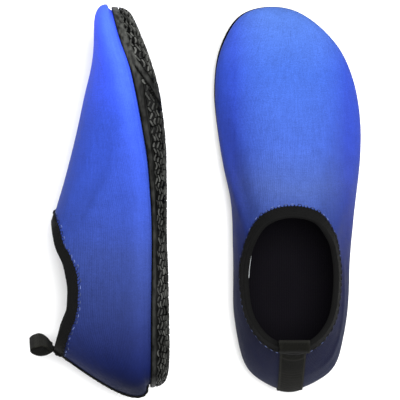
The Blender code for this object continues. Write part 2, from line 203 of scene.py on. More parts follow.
FOLD_RISE = 0.0013
THREAD_RADIUS = 0.00020
BARTACK_PITCH = 0.00042
LABEL_THICK = 0.0004
FOOTBED_ROUND = 0.0012
TAPE_RIDGE = 0.0034

# The heel tape goes up to the loop's root in these shares of the way, and a little behind and above it.
ROOT_SHARES = (0.2, 0.5, 0.8, 1.0)
TAPE_TUCK = (0.0, 0.0009, 0.0004)

LOOP_BACK = -0.0012
LOOP_END = (0.0002, -0.0014)
LOOP_RIDGE = 0.0016
ROOT_LEAN = 0.62
LEAN_CENTRE = 0.62

# The sole's lower corner, as (distance inwards, distance up), and the row of the sole's surface that ends it.
SOLE_CORNER = [(0.0062, 0.0), (0.0040, 0.0004), (0.0024, 0.0015), (0.0012, 0.0030), (0.0007, 0.0046)]
CORNER_ROW = 16
BAND_EDGE = 0.0080
FIELD_DEPTH = 0.0013
TOE_LEAN = 0.0008
SWEEP_START = 0.185
SWEEP_CLIMB = 0.034

# Pale dust and painted highlight on the smooth rubber of the sides and of the toe, and how much painted shade
# a groove gets for its depth.
SIDE_DUST_AND_HIGHLIGHT = 0.24
TOE_DUST_AND_HIGHLIGHT = 0.60
GROOVE_SHADE = 900

# Lugs and ribs, with their sections as (share of the half width, share of the height or depth).
LUG_DEPTH = 0.0013
LUG_PITCH = 0.00190
LUG_GAP = 0.0009
LUG_HALF = 0.00054
LUG_WAVE = 0.00062
LUG_WAVE_LENGTH = 0.0082
LUG_SECTION = [(-1.0, 0.0), (-0.82, 1.0), (0.82, 1.0), (1.0, 0.0)]
RIB_PITCH = 0.0047
RIB_HALF = 0.00150
RIB_SECTION = [(-1.0, 1.0), (-0.78, 0.0), (0.78, 0.0), (1.0, 1.0)]


# ---- Curves and ring surfaces ----


def spline(a, b, c, d, t):
    """Points at a share t of the way from b to c, on a smooth curve past a and d."""
    return b + 0.5 * t * (c - a + t * (2 * a - 5 * b + 4 * c - d + t * (3 * (b - c) + d - a)))


def closed_curve(points, count):
    """Count points on the smooth closed curve through the given points."""
    points = np.array(points)
    place = np.arange(count) * len(points) / count
    first = np.floor(place).astype(int)
    t = (place - first)[:, None]
    return spline(*(points[(first + step) % len(points)] for step in (-1, 0, 1, 2)), t)


def open_curve(points, count):
    """Count points on the smooth open curve through the given points."""
    points = np.array(points, float)
    ends = np.vstack([2 * points[0] - points[1], points, 2 * points[-1] - points[-2]])
    place = np.linspace(0, len(points) - 1, count)
    first = np.minimum(np.floor(place).astype(int), len(points) - 2)
    t = (place - first)[:, None]
    return spline(*(ends[first + step] for step in range(4)), t)


def height_along(table, y):
    """Height at y on a smooth curve through the table's (y, z) rows that never overshoots them."""
    ys, zs = np.array(table).T
    rise = np.diff(zs) / np.diff(ys)
    before, after = rise[:-1], rise[1:]
    same_way = before * after > 0
    total = np.where(same_way, before + after, 1.0)
    slope = np.concatenate([rise[:1], np.where(same_way, 2 * before * after / total, 0.0), rise[-1:]])
    y = np.clip(y, ys[0], ys[-1])
    i = np.clip(np.searchsorted(ys, y) - 1, 0, len(ys) - 2)
    width = ys[i + 1] - ys[i]
    t = (y - ys[i]) / width
    start = (1 + 2 * t) * (1 - t) ** 2 * zs[i] + t * (1 - t) ** 2 * width * slope[i]
    end = t * t * (3 - 2 * t) * zs[i + 1] + t * t * (t - 1) * width * slope[i + 1]
    return start + end


def smooth_step(value):
    value = np.clip(value, 0.0, 1.0)
    return value * value * (3 - 2 * value)


def bell(value):
    return np.exp(-(value**2))


def finer(rows, columns=COLUMNS):
    """Rings with more columns, on the smooth closed curves through the same points."""
    rows = np.asarray(rows)
    count = rows.shape[1]
    spectrum = np.fft.rfft(rows, axis=1)
    spectrum[:, -1] *= 0.5
    wide = np.zeros((rows.shape[0], columns // 2 + 1, rows.shape[2]), complex)
    wide[:, : spectrum.shape[1]] = spectrum
    return np.fft.irfft(wide, columns, axis=1) * (columns / count)


def unit(vectors):
    """The same directions, one long."""
    return vectors / np.linalg.norm(vectors, axis=-1, keepdims=True)


def round_ring(points, axis=0):
    """From the point before to the point after, at each point of a ring."""
    return np.roll(points, -1, axis=axis) - np.roll(points, 1, axis=axis)


def plan_normals(ring):
    """Outward directions in plan of a ring that runs anticlockwise seen from above."""
    along = round_ring(ring)
    return unit(np.stack([along[:, 1], -along[:, 0]], axis=1))


def sole_ring(inset):
    outline = closed_curve(STATIONS, STATION_COLUMNS)[:, :2]
    outward = plan_normals(outline)
    edge = SOLE_INSET + HEEL_OVERHANG * smooth_step(1 - outline[:, 1] / HEEL_END)
    return outline - outward * (edge + inset)[:, None]


def at_height(ring, height):
    return np.column_stack([ring, np.broadcast_to(height, len(ring))])


def tread_ring(inset, lift):
    ring = sole_ring(inset)
    return at_height(ring, height_along(TREAD_HEIGHT, ring[:, 1]) + lift)


def feather_ring(inset, lift):
    ring = sole_ring(inset)
    return at_height(ring, height_along(FEATHER_HEIGHT, sole_ring(0.0)[:, 1]) + lift)


def collar_lines(towards):
    """The collar's edge, and the way down the upper from it in plan towards the given ring."""
    plan = closed_curve(STATIONS, STATION_COLUMNS)[:, 2:]
    edge = at_height(plan, height_along(COLLAR_HEIGHT, plan[:, 1]))
    outward = plan_normals(plan)
    forward = np.clip(outward[:, 1], 0, 1) ** FRONT_FADE
    backward = np.clip(-outward[:, 1], 0, 1) ** HEEL_FADE
    slope = SIDE_SLOPE + (FRONT_SLOPE - SIDE_SLOPE) * forward + (HEEL_SLOPE - SIDE_SLOPE) * backward
    slope = np.radians(slope)
    square = np.column_stack([outward * np.cos(slope)[:, None], -np.sin(slope)])
    along = round_ring(edge)
    along /= np.linalg.norm(along[:, :2], axis=1, keepdims=True)
    aim = towards[:, :2] - plan
    skew = np.sum(aim * along[:, :2], axis=1) / np.sum(aim * outward, axis=1)
    return edge, square + along * (np.cos(slope) * skew)[:, None]


def upper_surface(foot_lift, bulge_rows, collar_rows=3, columns=COLUMNS):
    """The outside of the upper, as rows of rings from inside the sole up to the collar's edge."""
    wall_inset = RIM_THICK + GAP
    foot = tread_ring(wall_inset, foot_lift)
    turn = feather_ring(wall_inset, TURN_RISE)
    shoulder = feather_ring(SHOULDER_INSET, SHOULDER_RISE)
    edge, down = collar_lines(shoulder)
    straight = edge + down * BINDING_WIDTH
    down = unit(down)
    outward = plan_normals(closed_curve(STATIONS, STATION_COLUMNS)[:, :2])
    span = np.linalg.norm((straight - shoulder)[:, :2], axis=1)
    to_toe = np.clip(span / SPAN_AT_TOE, 0, 1)
    to_heel = np.clip(-outward[:, 1], 0, 1) ** 2
    arm = SIDE_ARM + TOE_ARM_EXTRA * to_toe**2 + HEEL_ARM_EXTRA * to_heel
    flare = SIDE_FLARE + (HEEL_FLARE - SIDE_FLARE) * to_heel + (TOE_FLARE - SIDE_FLARE) * to_toe
    low = shoulder + np.column_stack([outward * flare[:, None], arm])
    high = straight + down * (COLLAR_ARM + COLLAR_ARM_SHARE * span)[:, None]
    rows = [foot, (foot + turn) / 2, turn, (turn + shoulder) / 2]
    for t in np.linspace(0, 1, bulge_rows + 1):
        near = (1 - t) ** 3 * shoulder + 3 * t * (1 - t) ** 2 * low
        rows.append(near + 3 * t * t * (1 - t) * high + t**3 * straight)
    for t in np.linspace(0, 1, collar_rows + 1)[1:]:
        rows.append(straight + (edge - straight) * t)
    return finer(rows, columns)


def grid_normals(grid):
    """Outward normals of rings stacked from bottom to top."""
    return unit(np.cross(round_ring(grid, 1), np.gradient(grid, axis=0)))


def collar_band():
    """Rings at the collar's edge and at the binding's lower edge, and the way out of the upper there."""
    low, edge = upper_surface(FLOOR_THICK + GAP, 12, 1)[-2:]
    return edge, low, unit(np.cross(round_ring(edge), edge - low))


def collar_point(band, outwards, below):
    """A ring around the collar, at a distance out of the upper and a distance below its edge."""
    edge, low, outward = band
    below = np.broadcast_to(below, len(edge))[:, None]
    outwards = np.broadcast_to(outwards, len(edge))[:, None]
    return edge + (low - edge) * (below / BINDING_WIDTH) + outward * outwards


def path_lengths(path):
    """Distance along a path at each of its points."""
    return np.concatenate([[0], np.cumsum(np.linalg.norm(np.diff(path, axis=0), axis=1))])


def ring_lengths(ring):
    """Distance round a ring at each of its points, and once more back at the first."""
    return path_lengths(np.concatenate([ring, ring[:1]]))


def columns_at(lengths, places):
    """The columns at distances round a ring whose points lie at the given lengths."""
    return np.interp(np.mod(places, lengths[-1]), lengths, np.arange(len(lengths)))


def at_columns(ring, columns):
    """Points of a ring at any places between its columns."""
    first = np.floor(columns).astype(int)
    share = (columns - first)[:, None]
    return ring[first % len(ring)] * (1 - share) + ring[(first + 1) % len(ring)] * share


def on_surface(grid, level, column):
    """Values of a grid of rings at any places between its rows and columns."""
    lower = np.clip(np.floor(level).astype(int), 0, grid.shape[0] - 2)
    share = (level - lower)[:, None]
    left = np.floor(column).astype(int)
    part = (column - left)[:, None]
    left, right = left % grid.shape[1], (left + 1) % grid.shape[1]
    bottom = grid[lower, left] * (1 - part) + grid[lower, right] * part
    top = grid[lower + 1, left] * (1 - part) + grid[lower + 1, right] * part
    return bottom * (1 - share) + top * share


def roughness_field(points, size, seed):
    """Smooth noise from -1 to 1 at points, with lumps of about the given size."""
    shift = Vector((seed * 3.7, seed * 1.3, seed * 7.9))
    values = [noise.noise(Vector(point) / size + shift) for point in points.reshape(-1, 3)]
    return np.reshape(values, points.shape[:-1])


# ---- Meshes ----


class Build:
    """Collects the vertices and faces of a piece, with each vertex's place on its cloth and its shade."""

    def __init__(self):
        self.points, self.cloth, self.shade, self.faces = [], [], [], []
        self.count = 0

    def polygons(self, faces, flip=False):
        self.faces += [[int(corner) for corner in (face[::-1] if flip else face)] for face in faces]

    def grid(self, grid, cloth=None, shade=0.0, around=True, across=False, flip=False):
        """A sheet of quads. Around closes each row on itself, and across closes the last row on the first."""
        rows, columns = grid.shape[:2]
        steps = np.arange(rows if across else rows - 1), np.arange(columns if around else columns - 1)
        row, left = np.meshgrid(*steps, indexing="ij")
        below, above, right = row * columns, (row + 1) % rows * columns, (left + 1) % columns
        quads = np.stack([below + left, below + right, above + right, above + left], axis=-1)
        quads = quads.reshape(-1, 4) + self.count
        self.faces += (quads[:, ::-1] if flip else quads).tolist()
        size = rows * columns
        self.points.append(grid.reshape(size, 3))
        self.cloth.append(np.zeros((size, 2)) if cloth is None else cloth.reshape(size, 2))
        self.shade.append(np.broadcast_to(np.ravel(shade), size))
        self.count += size

    def cap(self, first, columns, flip=False):
        """Closes a ring of this many columns, which starts at vertex first, with strips from side to side."""
        half = columns // 2
        at = first + np.arange(columns)
        self.polygons([[at[0], at[1], at[-1]], [at[half - 1], at[half], at[half + 1]]], flip)
        self.polygons([[at[i], at[i + 1], at[-i - 1], at[-i]] for i in range(1, half - 1)], flip)

    def shell(self, near, far, shade=0.0):
        """A sheet of cloth from its two faces, closed along its first and its last row."""
        self.grid(near, cloth_places(near), shade)
        self.grid(far, cloth_places(far), flip=True)
        size, columns = near.shape[0] * near.shape[1], near.shape[1]
        first = np.arange(columns)
        after = (first + 1) % columns
        last, last_after = first + size - columns, after + size - columns
        self.faces += np.stack([first + size, after + size, after, first], axis=1).tolist()
        self.faces += np.stack([last, last_after, last_after + size, last + size], axis=1).tolist()

    def band(self, top, under, across, lengths, pale):
        """A flat band from its two faces, with the places of its points across and along it."""
        rings = np.concatenate([top, under[:, ::-1]], axis=1)
        cloth = np.broadcast_arrays(np.append(across, across[::-1]), lengths[:, None])
        self.grid(rings, np.stack(cloth, axis=-1), np.concatenate([pale, pale[:, ::-1]], axis=1))
        count = rings.shape[1]
        for start, flip in ((0, True), ((len(rings) - 1) * count, False)):
            end = start + count - 1
            strip = [[start + i, start + i + 1, end - 1 - i, end - i] for i in range(count // 2 - 1)]
            self.polygons(strip, flip)

    def bar(self, rows, shade, flip=False):
        """A closed bar from four rows along it: one foot, the two edges of its top, and the other foot."""
        ends, steps = self.count + rows.shape[1] * np.arange(4), rows.shape[1]
        self.grid(rows, shade=np.repeat(shade, steps), around=False, flip=flip)
        self.polygons([ends, (ends + steps - 1)[::-1]], flip)
        low, high = ends[0], ends[3]
        self.polygons([[low + i + 1, low + i, high + i, high + i + 1] for i in range(steps - 1)], flip)

    def tube(self, path, radius, sides, shade=0.0):
        """A round thread along a path, closed at both ends."""
        path = np.asarray(path)
        along = unit(np.gradient(path, axis=0))
        up = np.array([0.0, 0.0, 1.0]) if abs(along[0][2]) < 0.9 else np.array([1.0, 0.0, 0.0])
        turn = np.arange(sides) / sides
        angle = 2 * np.pi * turn[:, None]
        rows = []
        for direction, point in zip(along, path):
            side = unit(np.cross(direction, up))
            up = np.cross(side, direction)
            rows.append(point + radius * (np.cos(angle) * side + np.sin(angle) * up))
        cloth = np.stack(np.broadcast_arrays(path_lengths(path)[:, None], turn), axis=-1)
        first, last = self.count, self.count + (len(rows) - 1) * sides
        shade = np.broadcast_to(np.reshape(shade, (-1, 1)), cloth.shape[:2])
        self.grid(np.array(rows), cloth, shade, flip=True)
        self.polygons([range(first, first + sides), range(last + sides - 1, last - 1, -1)])

    def finish(self, name, shoe, material, node, body="shoe", smooth=50.0):
        """Turns what was collected into a piece of a shoe, on its body and in place of its CAD node."""
        points = np.concatenate(self.points)
        local = points.copy()
        if shoe["side"] == "left":
            points = points * (-1, 1, 1)
            self.faces = [face[::-1] for face in self.faces]
        matrix = np.array(shoe["matrix"])
        points = points @ matrix[:3, :3].T + matrix[:3, 3]
        mesh = bpy.data.meshes.new(name)
        mesh.from_pydata(points.tolist(), [], self.faces)
        mesh.shade_smooth()
        mesh.set_sharp_from_angle(angle=math.radians(smooth))
        cloth = np.concatenate(self.cloth)
        for attribute, rows in (("place", local), ("cloth", np.column_stack([cloth, np.zeros(len(cloth))]))):
            layer = mesh.attributes.new(attribute, "FLOAT_VECTOR", "POINT")
            layer.data.foreach_set("vector", rows.astype(np.float32).ravel())
        layer = mesh.attributes.new("shade", "FLOAT", "POINT")
        layer.data.foreach_set("value", np.concatenate(self.shade).astype(np.float32))
        mesh.materials.append(material)
        piece = bpy.data.objects.new(f"{name}_{shoe['side']}", mesh)
        bpy.context.scene.collection.objects.link(piece)
        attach(piece, f"{shoe['side']}_{body}")
        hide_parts(f"{node}_{shoe['side']}")
        return piece


# ---- Materials ----


def srgb(red, green, blue):
    values = np.array([red, green, blue]) / 255
    linear = np.where(values <= 0.04045, values / 12.92, ((values + 0.055) / 1.055) ** 2.4)
    return (*linear.tolist(), 1.0)


class Graph:
    """A material's nodes, with short ways to add them."""

    def __init__(self, name, **settings):
        self.material = bpy.data.materials.new(name)
        self.material.use_nodes = True
        self.tree = self.material.node_tree
        self.shader = self.tree.nodes["Principled BSDF"]
        for socket, value in settings.items():
            self.shader.inputs[socket.replace("_", " ")].default_value = value

    def put(self, socket, value):
        if isinstance(value, bpy.types.NodeSocket):
            self.tree.links.new(value, socket)
        else:
            socket.default_value = value

    def add(self, kind, inputs, output=0, **properties):
        node = self.tree.nodes.new(kind)
        for key, value in properties.items():
            setattr(node, key, value)
        for key, value in inputs.items():
            self.put(node.inputs[key], value)
        return node.outputs[output]

    def maths(self, operation, *values):
        return self.add("ShaderNodeMath", dict(enumerate(values)), operation=operation)

    def line(self, value, slope, start=0.0):
        return self.maths("MULTIPLY_ADD", value, slope, start)

    def layers(self, start, *layers):
        """A number with a share of each layer on top, as (value, share)."""
        for value, share in layers:
            start = self.line(value, share, start)
        return start

    def attribute(self, name, output="Vector"):
        return self.add("ShaderNodeAttribute", {}, output, attribute_name=name)

    def split(self, vector):
        node = self.tree.nodes.new("ShaderNodeSeparateXYZ")
        self.put(node.inputs[0], vector)
        return node.outputs

    def noise(self, vector, scale, detail, stretch=None):
        if stretch:
            vector = self.add("ShaderNodeMapping", {"Vector": vector, "Scale": stretch})
        return self.add("ShaderNodeTexNoise", {"Vector": vector, "Scale": scale, "Detail": detail})

    def ramp(self, factor, stops):
        """Colours or greys at places from 0 to 1."""
        node = self.tree.nodes.new("ShaderNodeValToRGB")
        while len(node.color_ramp.elements) < len(stops):
            node.color_ramp.elements.new(1.0)
        for element, (place, colour) in zip(node.color_ramp.elements, stops):
            element.position = place
            element.color = colour if isinstance(colour, tuple) else (colour, colour, colour, 1.0)
        self.put(node.inputs[0], factor)
        return node.outputs[0]

    def mix(self, factor, first, second, blend="MIX"):
        inputs = {0: factor, 6: first, 7: second}
        return self.add("ShaderNodeMix", inputs, 2, data_type="RGBA", blend_type=blend)

    def scaled(self, colour, factor):
        """The colour times a grey factor."""
        colour = colour[:3] if isinstance(colour, tuple) else colour
        return self.add("ShaderNodeVectorMath", {0: colour, "Scale": factor}, operation="SCALE")

    def bumps(self, *bumps):
        """A normal with each of these on top of the last, as (height, distance, strength)."""
        normal = None
        for height, distance, strength in bumps:
            inputs = {"Height": height, "Distance": distance, "Strength": strength}
            if normal is not None:
                inputs["Normal"] = normal
            normal = self.add("ShaderNodeBump", inputs)
        return normal

    def done(self, colour, roughness, normal=None):
        for socket, value in (("Base Color", colour), ("Roughness", roughness), ("Normal", normal)):
            if value is not None:
                self.put(self.shader.inputs[socket], value)
        return self.material


def knit_height(graph, cloth, wale, course):
    """Height of a plain knit: ribs across by the wale, with loops that lean along by the course."""
    across, along, _ = graph.split(cloth)
    rib = graph.maths("ABSOLUTE", graph.maths("SINE", graph.line(across, math.pi / wale)))
    turn = graph.line(along, 2 * math.pi / course, graph.line(rib, 2.4))
    loop = graph.line(graph.maths("SINE", turn), 0.5, 0.5)
    return graph.maths("MULTIPLY", rib, graph.line(loop, 0.45, 0.55))


def weave_height(graph, cloth, pitch, pick):
    """Height of webbing: strands across it, which pass over and under a warp."""
    across, along, _ = graph.split(cloth)
    warp = graph.maths("SINE", graph.line(across, math.pi / pitch))
    weft = graph.maths("SINE", graph.line(along, math.pi / pick))
    return graph.line(graph.maths("MULTIPLY", warp, weft), 0.5, 0.5)


def upper_material(side, colours_and_light, side_shade, edge_highlight):
    """Stretch jersey on neoprene, from bright blue at the toe to navy at the heel. Each shoe's ramp also
    holds painted light and shade, with painted shade towards the sides and painted highlight and shade along
    the sole's edge.
    """
    graph = Graph(
        f"stretch_jersey_{side}",
        Sheen_Weight=0.03,
        Sheen_Roughness=0.4,
        Sheen_Tint=srgb(150, 175, 255),
        Specular_IOR_Level=0.06,
    )
    place, cloth, shade = graph.attribute("place"), graph.attribute("cloth"), graph.attribute("shade", "Fac")
    aside, along, _ = graph.split(place)
    along = graph.maths("ADD", along, graph.line(graph.noise(place, 24.0, 2.0), 0.016, -0.008))
    # Colour ramp along the shoe. Its stops hold painted light and shade besides the cloth's own colour.
    colour_and_light = graph.ramp(graph.maths("DIVIDE", along, LENGTH), [(share, srgb(*values)) for share, values in colours_and_light])
    # Painted shade: the cloth turns darker and deeper blue towards the shoe's sides, on the right shoe only.
    aside = graph.maths("DIVIDE", graph.maths("ABSOLUTE", aside), 0.036)
    aside = graph.maths("MINIMUM", graph.maths("POWER", aside, 3.0), 1.0)
    colour_and_light = graph.mix(graph.maths("MULTIPLY", aside, side_shade), colour_and_light, (0.55, 0.50, 0.95, 1.0), "MULTIPLY")
    mottle, fuzz = graph.noise(place, 120.0, 5.0), graph.noise(place, 1500.0, 3.0)
    knit = knit_height(graph, cloth, 0.00085, 0.00075)
    light = graph.layers(
        0.04,
        (graph.noise(cloth, 900.0, 3.0, (1.0, 0.09, 1.0)), 0.34),
        (graph.noise(cloth, 800.0, 3.0, (0.15, 1.0, 1.0)), 0.20),
        (mottle, 0.26),
        (knit, 0.12),
        (graph.noise(place, 40.0, 2.0), 0.10),
        (fuzz, 0.80),
        # Painted highlight: a lighter band of cloth just above the sole, by each shoe's share.
        (graph.maths("MAXIMUM", shade, 0.0), edge_highlight),
    )
    # Painted shade: a dark, ragged line where the upper meets the sole, from the negative shade.
    sole_join_shade = graph.maths("MINIMUM", shade, 0.0)
    sole_join_shade = graph.maths("MULTIPLY", sole_join_shade, graph.ramp(fuzz, [(0.35, 0.3), (0.6, 1.6)]))
    light = graph.maths("MAXIMUM", graph.maths("ADD", light, sole_join_shade), 0.03)
    normal = graph.bumps((mottle, 0.0006, 0.25), (knit, 0.00016, 0.7), (fuzz, 0.0001, 0.5))
    return graph.done(graph.scaled(colour_and_light, light), graph.line(mottle, 0.25, 0.62), normal)


def dark_cloth(name, colour, height, scale, distance, sheen):
    """Black cloth: height is a function that gives its weave, and scale is the size of its two repeats."""
    graph = Graph(name, Sheen_Weight=sheen, Sheen_Roughness=0.5, Specular_IOR_Level=0.03)
    place = graph.attribute("place")
    weave = height(graph, graph.attribute("cloth"), *scale)
    mottle, fuzz = graph.noise(place, 190.0, 4.0), graph.noise(place, 2400.0, 2.0)
    shade = graph.attribute("shade", "Fac")
    # The shade attribute lightens the cloth: paler selvages and painted highlight on ridges, on the heel tape
    # and the loop.
    light = graph.layers(0.35, (weave, 0.75), (mottle, 0.7), (fuzz, 0.5), (shade, 5.5))
    normal = graph.bumps((mottle, 0.0004, 0.3), (weave, distance, 0.8), (fuzz, 0.0001, 0.5))
    return graph.done(graph.scaled(srgb(*colour), light), graph.line(mottle, 0.3, 0.6), normal)


def rubber_material():
    """Moulded black rubber, with pale dust and painted highlight on what stands out, painted shade in its
    grooves, and a mould's fine grain.
    """
    graph = Graph("moulded_rubber", Specular_IOR_Level=0.05)
    place = graph.attribute("place")
    grain, cloudy = graph.noise(place, 1500.0, 3.0), graph.noise(place, 90.0, 4.0)
    scuff = graph.noise(place, 420.0, 5.0, (1.0, 0.35, 1.0))
    patches = graph.ramp(scuff, [(0.35, 0.15), (0.7, 1.0)])
    dust_and_painted_light = graph.maths("MULTIPLY", graph.attribute("shade", "Fac"), patches)
    colour = graph.mix(dust_and_painted_light, srgb(1, 1, 1), srgb(84, 85, 82))
    colour = graph.scaled(colour, graph.line(cloudy, 0.9, 0.55))
    normal = graph.bumps((cloudy, 0.0006, 0.2), (scuff, 0.0002, 0.3), (grain, 0.00008, 0.5))
    return graph.done(colour, graph.line(cloudy, 0.3, 0.38), normal)


def thread_material():
    """Twisted sewing thread, black where shade is 0 and pale blue where it is 1."""
    graph = Graph("sewing_thread", Specular_IOR_Level=0.1)
    length, turn, _ = graph.split(graph.attribute("cloth"))
    strands = graph.line(length, 2 * math.pi / 0.0007, graph.line(turn, 6 * math.pi))
    strands = graph.line(graph.maths("SINE", strands), 0.5, 0.5)
    colour = graph.mix(graph.attribute("shade", "Fac"), srgb(12, 12, 13), srgb(118, 134, 190))
    colour = graph.scaled(colour, graph.line(strands, 0.5, 0.6))
    return graph.done(colour, 0.6, graph.bumps((strands, 0.00008, 0.8)))


def board_material():
    """Pressed fibre board, pale with darker flecks."""
    graph = Graph("fibre_board")
    flecks = graph.noise(graph.add("ShaderNodeTexCoord", {}, "Object"), 900.0, 5.0)
    colour = graph.ramp(flecks, [(0.35, srgb(120, 112, 98)), (0.6, srgb(166, 160, 148))])
    return graph.done(colour, 0.9, graph.bumps((flecks, 0.0002, 0.6)))


def label_material():
    """Blank satin-woven tape with a firmer selvage."""
    graph = Graph("woven_label", Sheen_Weight=0.4, Specular_IOR_Level=0.4)
    weave = weave_height(graph, graph.attribute("cloth"), 0.0003, 0.0004)
    mottle = graph.noise(graph.attribute("place"), 500.0, 3.0)
    light = graph.layers(0.65, (mottle, 0.3), (weave, 0.25))
    return graph.done(graph.scaled(srgb(150, 168, 178), light), 0.55, graph.bumps((weave, 0.00008, 0.7)))


# How far along the shoe each colour lies, as a share of its length. The two shoes' ramps differ by painted
# light and shade.
RIGHT_COLOURS_AND_PAINTED_LIGHT = [
    (0.03, (19, 21, 42)),
    (0.16, (4, 5, 32)),
    (0.30, (20, 21, 54)),
    (0.43, (39, 54, 111)),
    (0.53, (59, 78, 139)),
    (0.64, (56, 82, 162)),
    (0.82, (56, 88, 173)),
    (0.98, (70, 102, 177)),
]
LEFT_COLOURS_AND_PAINTED_LIGHT = [
    (0.01, (2, 4, 26)),
    (0.09, (14, 22, 63)),
    (0.17, (26, 35, 80)),
    (0.27, (35, 47, 98)),
    (0.38, (41, 56, 117)),
    (0.52, (43, 64, 147)),
    (0.70, (45, 70, 172)),
    (0.98, (63, 92, 255)),
]


def make_materials():
    return {
        "upper_right": upper_material("right", RIGHT_COLOURS_AND_PAINTED_LIGHT, 0.8, 0.0),
        "upper_left": upper_material("left", LEFT_COLOURS_AND_PAINTED_LIGHT, 0.0, 0.30),
        "lining": dark_cloth("lining_jersey", (6, 5, 9), knit_height, (0.0011, 0.0009), 0.0002, 0.0),
        "binding": dark_cloth("folded_binding", (11, 11, 11), knit_height, (0.0009, 0.0008), 0.00022, 0.01),
        "webbing": dark_cloth("black_webbing", (11, 11, 9), weave_height, (0.0011, 0.0007), 0.0003, 0.01),
        "foam": dark_cloth("footbed_jersey", (6, 5, 8), knit_height, (0.0012, 0.0010), 0.0002, 0.0),
        "thread": thread_material(),
        "rubber": rubber_material(),
        "board": board_material(),
        "label": label_material(),
    }


# ---- The pieces of a shoe ----


def cloth_places(points):
    """Where points lie on the flat cloth: across the foot and along it, in metres."""
    x, y, z = np.moveaxis(points, -1, 0)
    up = z - height_along(FEATHER_HEIGHT, y) + CLOTH_LIFT
    across = CLOTH_RADIUS * np.arctan2(x, up)
    behind = CLOTH_RADIUS * np.arctan2(np.minimum(y - HEEL_BEND, 0), up)
    before = CLOTH_RADIUS * np.arctan2(np.maximum(y - TOE_BEND, 0), up)
    return np.stack([across, np.clip(y, HEEL_BEND, TOE_BEND) + behind + before], axis=-1)


def soft_lumps(grid):
    """Soft unevenness at each point of a grid, worked out at every second row and fourth column."""
    coarse = grid[::2, ::4]
    lumps = 0.00030 * roughness_field(coarse, 0.030, 1) + 0.00010 * roughness_field(coarse, 0.011, 2)
    rows = np.linspace(0, len(lumps) - 1, len(grid))
    lower = np.minimum(np.floor(rows).astype(int), len(lumps) - 2)
    share = (rows - lower)[:, None]
    lumps = lumps[lower] * (1 - share) + lumps[lower + 1] * share
    columns = grid.shape[1]
    places = np.arange(0, columns + 4, 4)
    return np.array([np.interp(np.arange(columns), places, np.append(row, row[0])) for row in lumps])


def upper_shape(foot_lift, bulge_rows, toe_push, columns=COLUMNS):
    """The upper's outside and its normals, with soft unevenness, a crease beside the heel and puckers."""
    grid = upper_surface(foot_lift, bulge_rows, 3, columns)
    above_edge = grid[..., 2] - grid[SHOULDER_ROW, :, 2]
    ahead = grid[..., 1].copy()
    on_top = smooth_step(above_edge / 0.012)
    grid[..., 1] += toe_push * bell((ahead - 0.250) / 0.012) * smooth_step(above_edge / 0.0009)
    grid[..., 2] += on_top * (0.0026 * bell((ahead - 0.247) / 0.012) - 0.0012 * bell((ahead - 0.214) / 0.016))
    grid[..., 0] -= 0.0002 * smooth_step((ahead - 0.200) / 0.035) * smooth_step(above_edge / 0.002)
    normals = grid_normals(grid)
    row = np.arange(len(grid))[:, None]
    x, y, z = np.moveaxis(grid, -1, 0)
    crease_y = smooth_step((0.095 - y) / 0.030) * smooth_step((y - 0.004) / 0.02)
    crease = 0.0005 * bell((z - 0.0470 - 0.10 * (y - 0.05)) / 0.0028) * crease_y * (x > 0)
    pucker = 0.00013 * np.cos(2 * np.pi * np.arange(columns) * STITCHES / columns)
    below = np.linalg.norm(grid - grid[SEAM_ROW], axis=2)
    pucker = pucker * bell((below - 0.0016) / 0.0018) * (row <= len(grid) + SEAM_ROW)
    above = np.linalg.norm(grid - grid[SHOULDER_ROW], axis=2)
    tuck = 0.0006 * bell((above - 0.0010) / 0.0016) * (row > SHOULDER_ROW)
    move = (soft_lumps(grid) + crease + pucker) * smooth_step((row - SHOULDER_ROW) / 6) - tuck
    move[SEAM_ROW:] = 0.0
    return grid + normals * move[..., None], normals


def make_upper(shoe, materials):
    outside, normals = upper_shape(FLOOR_THICK + GAP, UPPER_ROWS, shoe["toe_push"])
    # Shade of the upper: painted highlight in a band just above the sole's edge, and painted shade on its
    # lowest rows, where it goes in under the sole's rim.
    above = np.linalg.norm(outside - outside[SHOULDER_ROW], axis=2)
    shade = bell((above - 0.0042) / 0.006)
    shade[:2] = -1.6
    build = Build()
    build.shell(outside, outside - normals * UPPER_THICK, shade)
    piece = build.finish("knit_upper", shoe, materials[f"upper_{shoe['side']}"], "upper")


def make_lining(shoe, materials):
    foot_lift = FLOOR_THICK + BOARD_THICK + 2 * GAP
    outside, normals = upper_shape(foot_lift, UPPER_ROWS // 2, shoe["toe_push"], COLUMNS // 2)
    near = outside - normals * (UPPER_THICK + GAP)
    build = Build()
    build.shell(near, near - normals * LINING_THICK)
    piece = build.finish("jersey_lining", shoe, materials["lining"], "lining")


